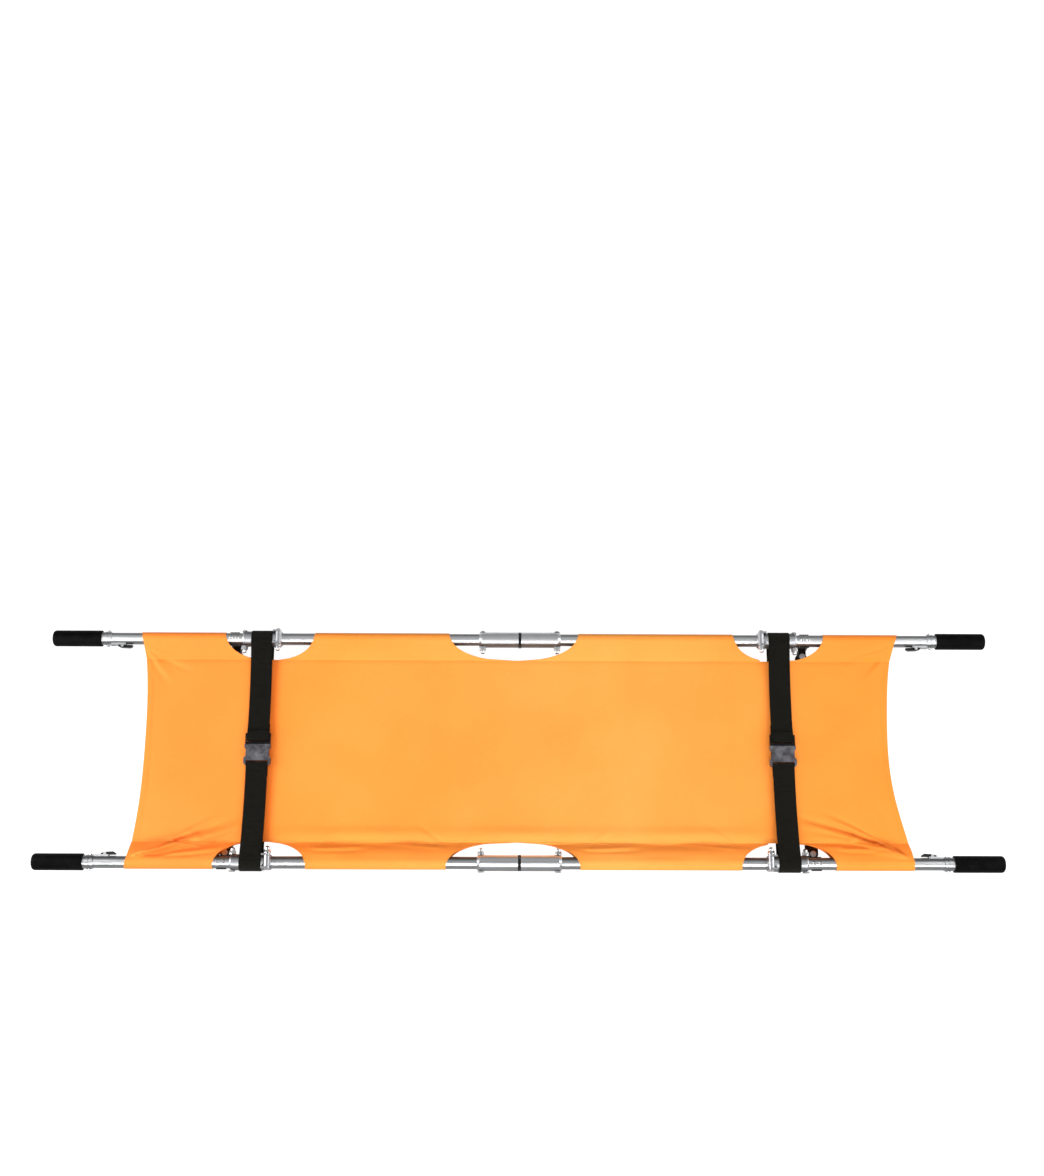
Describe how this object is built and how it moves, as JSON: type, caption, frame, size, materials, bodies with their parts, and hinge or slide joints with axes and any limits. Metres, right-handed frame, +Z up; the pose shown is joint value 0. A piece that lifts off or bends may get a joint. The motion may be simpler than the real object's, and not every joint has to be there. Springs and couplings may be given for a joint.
{
  "type": "folding stretcher",
  "caption": "Folding pole stretcher with an orange fabric sling on two hinged aluminium poles, rubber grips, cross spreaders, short legs and buckled webbing straps.",
  "frame": {"origin": "on the floor, below the middle of the stretcher", "axes": "+X along the poles towards the foot end, +Y across towards the far pole, +Z up"},
  "size_m": [2.2, 0.5676, 0.1083],
  "materials": {
    "pole_tube": "satin drawn aluminium tube",
    "handle_tube": "satin drawn aluminium tube",
    "grip_rubber": "black moulded rubber",
    "hinge_casting": "tumbled cast aluminium",
    "centre_sleeve": "satin turned aluminium",
    "steel_fastener": "bright zinc plated steel",
    "collar": "satin turned aluminium",
    "latch_plastic": "black moulded plastic",
    "leg_nylon": "black moulded nylon",
    "spreader_steel": "black powder coated steel bar",
    "sling_fabric": "orange coated woven fabric",
    "strap_webbing": "black woven webbing",
    "buckle_socket": "dark grey moulded plastic",
    "buckle_prongs": "black moulded plastic"
  },
  "bodies": {
    "near_foot": {"near_foot_pole": "pole_tube", "near_foot_hinge_socket": "hinge_casting", "near_foot_pole_collar": "collar", "near_foot_leg": "leg_nylon", "near_foot_fasteners": "steel_fastener", "foot_sling_panel": "sling_fabric", "foot_strap": "strap_webbing"},
    "near_head": {"near_head_pole": "pole_tube", "near_head_hinge_socket": "hinge_casting", "near_head_pole_collar": "collar", "near_head_leg": "leg_nylon", "near_head_fasteners": "steel_fastener", "head_sling_panel": "sling_fabric", "head_strap": "strap_webbing"},
    "near_lower": {"near_lower_pole": "pole_tube", "near_lower_hinge_knuckle": "hinge_casting", "near_lower_centre_sleeve": "centre_sleeve", "near_centre_pin": "steel_fastener", "lower_sling_panel": "sling_fabric"},
    "near_upper": {"near_upper_pole": "pole_tube", "near_upper_hinge_knuckle": "hinge_casting", "near_upper_centre_sleeve": "centre_sleeve", "upper_sling_panel": "sling_fabric"},
    "far_foot": {"far_foot_pole": "pole_tube", "far_foot_hinge_socket": "hinge_casting", "far_foot_pole_collar": "collar", "far_foot_leg": "leg_nylon", "far_foot_fasteners": "steel_fastener"},
    "far_head": {"far_head_pole": "pole_tube", "far_head_hinge_socket": "hinge_casting", "far_head_pole_collar": "collar", "far_head_leg": "leg_nylon", "far_head_fasteners": "steel_fastener"},
    "far_lower": {"far_lower_pole": "pole_tube", "far_lower_hinge_knuckle": "hinge_casting", "far_lower_centre_sleeve": "centre_sleeve", "far_centre_pin": "steel_fastener"},
    "far_upper": {"far_upper_pole": "pole_tube", "far_upper_hinge_knuckle": "hinge_casting", "far_upper_centre_sleeve": "centre_sleeve"},
    "foot_spreader_near": {"near_foot_spreader": "spreader_steel"},
    "handle_near_foot": {"near_foot_handle_tube": "handle_tube", "near_foot_grip": "grip_rubber"},
    "latch_near_foot": {"near_foot_latch": "latch_plastic"},
    "foot_spreader_far": {"far_foot_spreader": "spreader_steel"},
    "handle_far_foot": {"far_foot_handle_tube": "handle_tube", "far_foot_grip": "grip_rubber"},
    "latch_far_foot": {"far_foot_latch": "latch_plastic"},
    "foot_buckle": {"foot_buckle_socket": "buckle_socket"},
    "foot_buckle_prongs": {"foot_buckle_prongs": "buckle_prongs"},
    "head_spreader_near": {"near_head_spreader": "spreader_steel"},
    "handle_near_head": {"near_head_handle_tube": "handle_tube", "near_head_grip": "grip_rubber"},
    "latch_near_head": {"near_head_latch": "latch_plastic"},
    "head_spreader_far": {"far_head_spreader": "spreader_steel"},
    "handle_far_head": {"far_head_handle_tube": "handle_tube", "far_head_grip": "grip_rubber"},
    "latch_far_head": {"far_head_latch": "latch_plastic"},
    "head_buckle": {"head_buckle_socket": "buckle_socket"},
    "head_buckle_prongs": {"head_buckle_prongs": "buckle_prongs"}
  },
  "joints": [
    {"name": "fold_length", "type": "hinge", "parent": "near_foot", "child": "near_lower", "pos_m": [0.568, -0.263, 0.1], "axis": [0, 1, 0], "range_deg": [0, 180]},
    {"name": "fold_near_centre_hinge", "type": "hinge", "parent": "near_lower", "child": "near_upper", "pos_m": [0, -0.263, 0.059], "axis": [0, -1, 0], "range_deg": [0, 180]},
    {"name": "fold_near_head_hinge", "type": "hinge", "parent": "near_upper", "child": "near_head", "pos_m": [-0.568, -0.263, 0.1], "axis": [0, 1, 0], "range_deg": [0, 180]},
    {"name": "fold_far_foot_hinge", "type": "hinge", "parent": "far_foot", "child": "far_lower", "pos_m": [0.568, 0.263, 0.1], "axis": [0, 1, 0], "range_deg": [0, 180]},
    {"name": "fold_far_centre_hinge", "type": "hinge", "parent": "far_lower", "child": "far_upper", "pos_m": [0, 0.263, 0.059], "axis": [0, -1, 0], "range_deg": [0, 180]},
    {"name": "fold_far_head_hinge", "type": "hinge", "parent": "far_upper", "child": "far_head", "pos_m": [-0.568, 0.263, 0.1], "axis": [0, 1, 0], "range_deg": [0, 180]},
    {"name": "fold_width", "type": "hinge", "parent": "near_foot", "child": "foot_spreader_near", "pos_m": [0.673, -0.235, 0.028], "axis": [0, 0, -1], "range_deg": [0, 78], "deforming": ["head_sling_panel", "upper_sling_panel", "lower_sling_panel", "foot_sling_panel", "head_strap", "foot_strap"]},
    {"name": "fold_foot_knee", "type": "hinge", "parent": "foot_spreader_near", "child": "foot_spreader_far", "pos_m": [0.673, 0, 0.03], "axis": [0, 0, 1], "range_deg": [0, 156]},
    {"name": "fold_far_foot_pivot", "type": "hinge", "parent": "foot_spreader_far", "child": "far_foot", "pos_m": [0.673, 0.235, 0.032], "axis": [0, 0, -1], "range_deg": [0, 78]},
    {"name": "fold_head_pivot", "type": "hinge", "parent": "near_head", "child": "head_spreader_near", "pos_m": [-0.673, -0.235, 0.028], "axis": [0, 0, 1], "range_deg": [0, 78]},
    {"name": "fold_head_knee", "type": "hinge", "parent": "head_spreader_near", "child": "head_spreader_far", "pos_m": [-0.673, 0, 0.03], "axis": [0, 0, -1], "range_deg": [0, 156]},
    {"name": "strap_slide_foot", "type": "slide", "parent": "near_foot", "child": "foot_buckle", "axis": [0, -1, 0], "range_m": [0, 0.2005]},
    {"name": "buckle_release_foot", "type": "slide", "parent": "foot_buckle", "child": "foot_buckle_prongs", "axis": [0, 1, 0], "range_m": [0, 0.028]},
    {"name": "strap_slide_head", "type": "slide", "parent": "near_head", "child": "head_buckle", "axis": [0, -1, 0], "range_m": [0, 0.2005]},
    {"name": "buckle_release_head", "type": "slide", "parent": "head_buckle", "child": "head_buckle_prongs", "axis": [0, 1, 0], "range_m": [0, 0.028]},
    {"name": "handle_near_foot", "type": "slide", "parent": "near_foot", "child": "handle_near_foot", "axis": [1, 0, 0], "range_m": [0, 0.1]},
    {"name": "latch_near_foot", "type": "hinge", "parent": "near_foot", "child": "latch_near_foot", "pos_m": [0.936, -0.2444, 0.08], "axis": [0, 0, 1], "range_deg": [0, 6], "stiffness_Nm_per_rad": 0.6, "springref_deg": -11.46},
    {"name": "handle_near_head", "type": "slide", "parent": "near_head", "child": "handle_near_head", "axis": [-1, 0, 0], "range_m": [0, 0.1]},
    {"name": "latch_near_head", "type": "hinge", "parent": "near_head", "child": "latch_near_head", "pos_m": [-0.936, -0.2444, 0.08], "axis": [0, 0, -1], "range_deg": [0, 6], "stiffness_Nm_per_rad": 0.6, "springref_deg": -11.46},
    {"name": "handle_far_foot", "type": "slide", "parent": "far_foot", "child": "handle_far_foot", "axis": [1, 0, 0], "range_m": [0, 0.1]},
    {"name": "latch_far_foot", "type": "hinge", "parent": "far_foot", "child": "latch_far_foot", "pos_m": [0.936, 0.2444, 0.08], "axis": [0, 0, -1], "range_deg": [0, 6], "stiffness_Nm_per_rad": 0.6, "springref_deg": -11.46},
    {"name": "handle_far_head", "type": "slide", "parent": "far_head", "child": "handle_far_head", "axis": [-1, 0, 0], "range_m": [0, 0.1]},
    {"name": "latch_far_head", "type": "hinge", "parent": "far_head", "child": "latch_far_head", "pos_m": [-0.936, 0.2444, 0.08], "axis": [0, 0, 1], "range_deg": [0, 6], "stiffness_Nm_per_rad": 0.6, "springref_deg": -11.46}
  ],
  "couplings": [
    {"joint": "fold_near_centre_hinge", "follows": "fold_length", "ratio": 1},
    {"joint": "fold_near_head_hinge", "follows": "fold_length", "ratio": 1},
    {"joint": "fold_far_foot_hinge", "follows": "fold_length", "ratio": 1},
    {"joint": "fold_far_centre_hinge", "follows": "fold_length", "ratio": 1},
    {"joint": "fold_far_head_hinge", "follows": "fold_length", "ratio": 1},
    {"joint": "fold_foot_knee", "follows": "fold_width", "ratio": 2},
    {"joint": "fold_far_foot_pivot", "follows": "fold_width", "ratio": 1},
    {"joint": "fold_head_pivot", "follows": "fold_width", "ratio": 1},
    {"joint": "fold_head_knee", "follows": "fold_width", "ratio": 2},
    {"joint": "strap_slide_foot", "follows": "fold_width", "m_per_rad": 0.14691},
    {"joint": "strap_slide_head", "follows": "fold_width", "m_per_rad": 0.14691}
  ]
}
